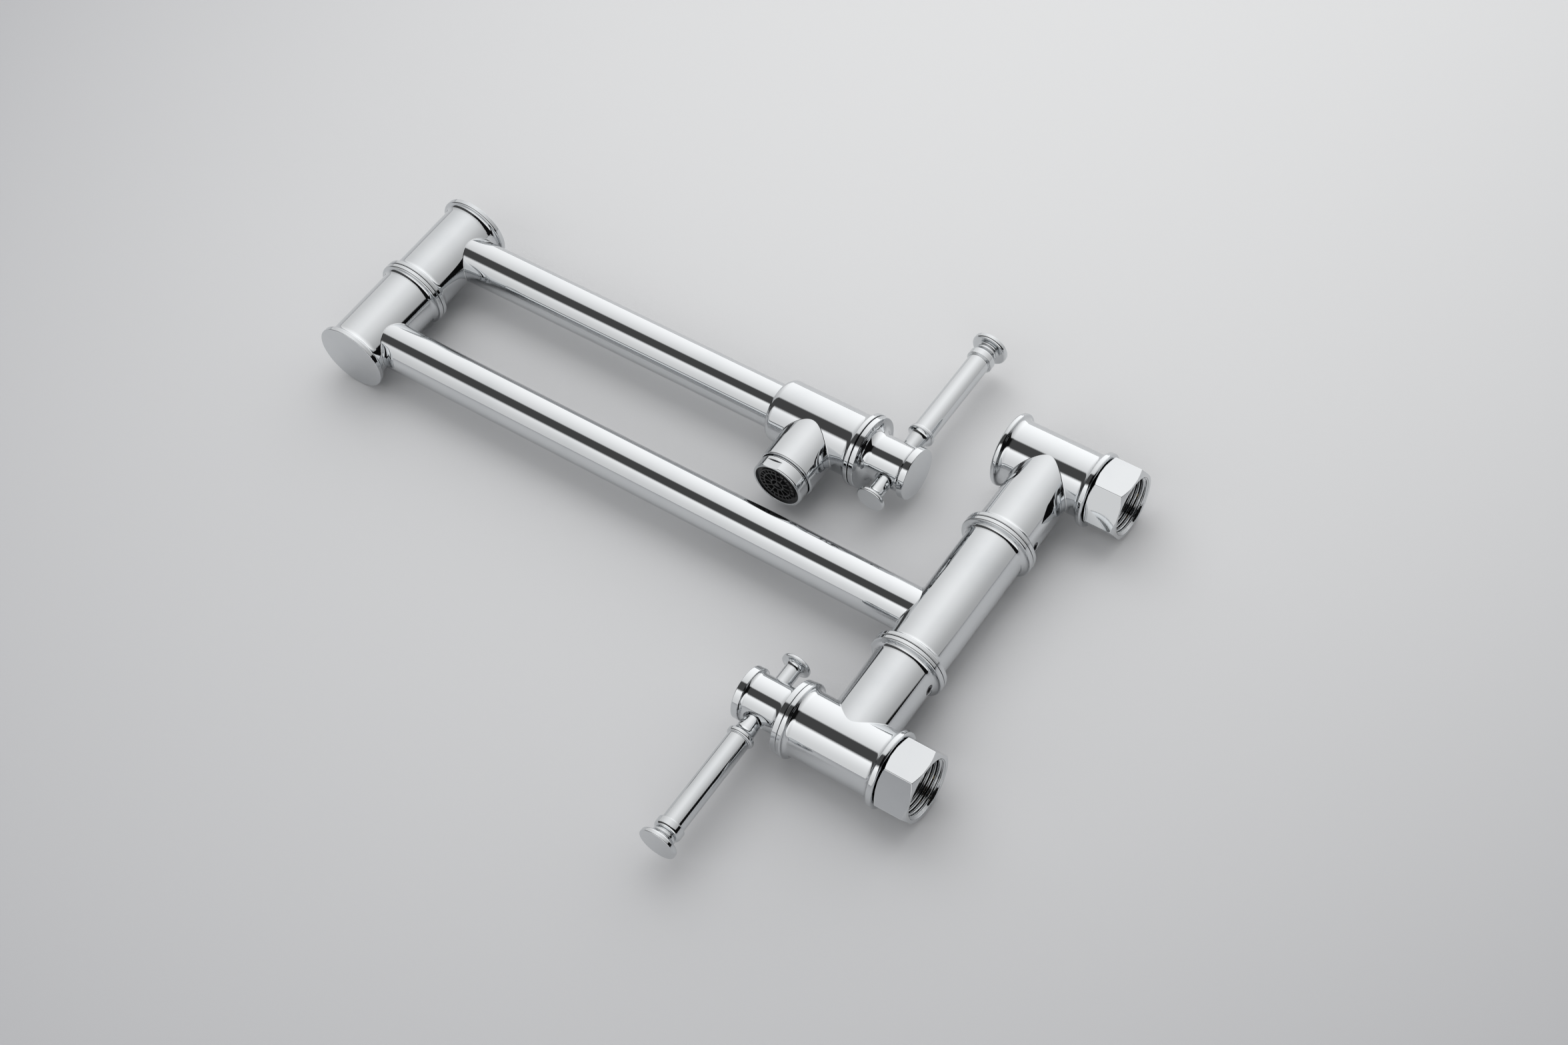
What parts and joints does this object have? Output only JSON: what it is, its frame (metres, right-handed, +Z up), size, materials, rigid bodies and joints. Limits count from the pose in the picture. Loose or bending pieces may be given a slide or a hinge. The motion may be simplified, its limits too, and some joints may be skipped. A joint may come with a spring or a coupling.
{
  "type": "wall mounted pot filler",
  "caption": "chrome wall mounted pot filler with a turning column, a folding double arm, lever valves on the inlet and on the spout, and hexagon union nuts",
  "frame": {"origin": "centre of the lower union nut's thread, where it meets its countersink, 1.34 mm inside the wall face", "axes": "+Z up along the column, +Y towards the wall along the inlets, +X to the user's right"},
  "size_m": [0.0342, 0.3601, 0.2804],
  "materials": {
    "chrome": "polished chrome plate",
    "inner_brass": "machined brass",
    "steel": "plain stainless steel",
    "rubber": "matt black rubber",
    "ceramic": "lapped ceramic",
    "white_plastic": "plain bearing plastic",
    "black_plastic": "moulded black plastic"
  },
  "bodies": {
    "wall_body": {"lower_tee": "chrome", "upper_tee": "chrome", "lower_inlet_tail": "inner_brass", "upper_inlet_tail": "inner_brass", "lower_inlet_washer": "rubber", "upper_inlet_washer": "rubber", "swivel_core": "inner_brass", "core_o_rings": "rubber", "core_set_screws": "steel", "lower_cartridge_body": "inner_brass", "lower_cartridge_seal": "rubber", "lower_seat_gasket": "rubber", "lower_fixed_disc": "ceramic"},
    "lower_nut": {"lower_union_nut": "chrome"},
    "upper_nut": {"upper_union_nut": "chrome"},
    "lower_handle": {"lower_handle_hub": "chrome", "lower_lever": "chrome", "lower_knob": "chrome", "lower_hub_cap": "chrome", "lower_handle_screw": "steel", "lower_stem": "inner_brass", "lower_moving_disc": "ceramic", "lower_stem_o_ring": "rubber", "lower_stem_clip": "steel"},
    "lower_arm": {"swivel_sleeve": "chrome", "swivel_washers": "white_plastic", "lower_arm_tube": "chrome", "elbow_lower_body": "chrome", "elbow_spigot": "inner_brass", "elbow_o_rings": "rubber"},
    "upper_arm": {"elbow_upper_body": "chrome", "elbow_washer": "white_plastic", "elbow_set_screw": "steel", "upper_arm_tube": "chrome", "spout_body": "chrome", "aerator_gasket": "rubber", "aerator_screen": "steel", "aerator_insert": "black_plastic", "aerator_ring": "chrome", "spout_cartridge_body": "inner_brass", "spout_cartridge_seal": "rubber", "spout_seat_gasket": "rubber", "spout_fixed_disc": "ceramic"},
    "spout_handle": {"spout_handle_hub": "chrome", "spout_lever": "chrome", "spout_knob": "chrome", "spout_hub_cap": "chrome", "spout_handle_screw": "steel", "spout_stem": "inner_brass", "spout_moving_disc": "ceramic", "spout_stem_o_ring": "rubber", "spout_stem_clip": "steel"}
  },
  "joints": [
    {"name": "lower_nut_turn", "type": "hinge", "parent": "wall_body", "child": "lower_nut", "pos_m": [0, 0, 0], "axis": [0, 1, 0], "continuous": true},
    {"name": "upper_nut_turn", "type": "hinge", "parent": "wall_body", "child": "upper_nut", "pos_m": [0, 0, 0.16], "axis": [0, 1, 0], "continuous": true},
    {"name": "lower_valve", "type": "hinge", "parent": "wall_body", "child": "lower_handle", "pos_m": [0, -0.05986, 0], "axis": [0, -1, 0], "range_deg": [0, 90]},
    {"name": "column_swivel", "type": "hinge", "parent": "wall_body", "child": "lower_arm", "pos_m": [0, -0.03666, 0.08], "axis": [0, 0, 1], "range_deg": [-90, 90]},
    {"name": "elbow_swivel", "type": "hinge", "parent": "lower_arm", "child": "upper_arm", "pos_m": [0, -0.34166, 0.0977], "axis": [0, 0, 1], "continuous": true},
    {"name": "spout_valve", "type": "hinge", "parent": "upper_arm", "child": "spout_handle", "pos_m": [0, -0.11086, 0.1276], "axis": [0, 1, 0], "range_deg": [0, 90]}
  ]
}
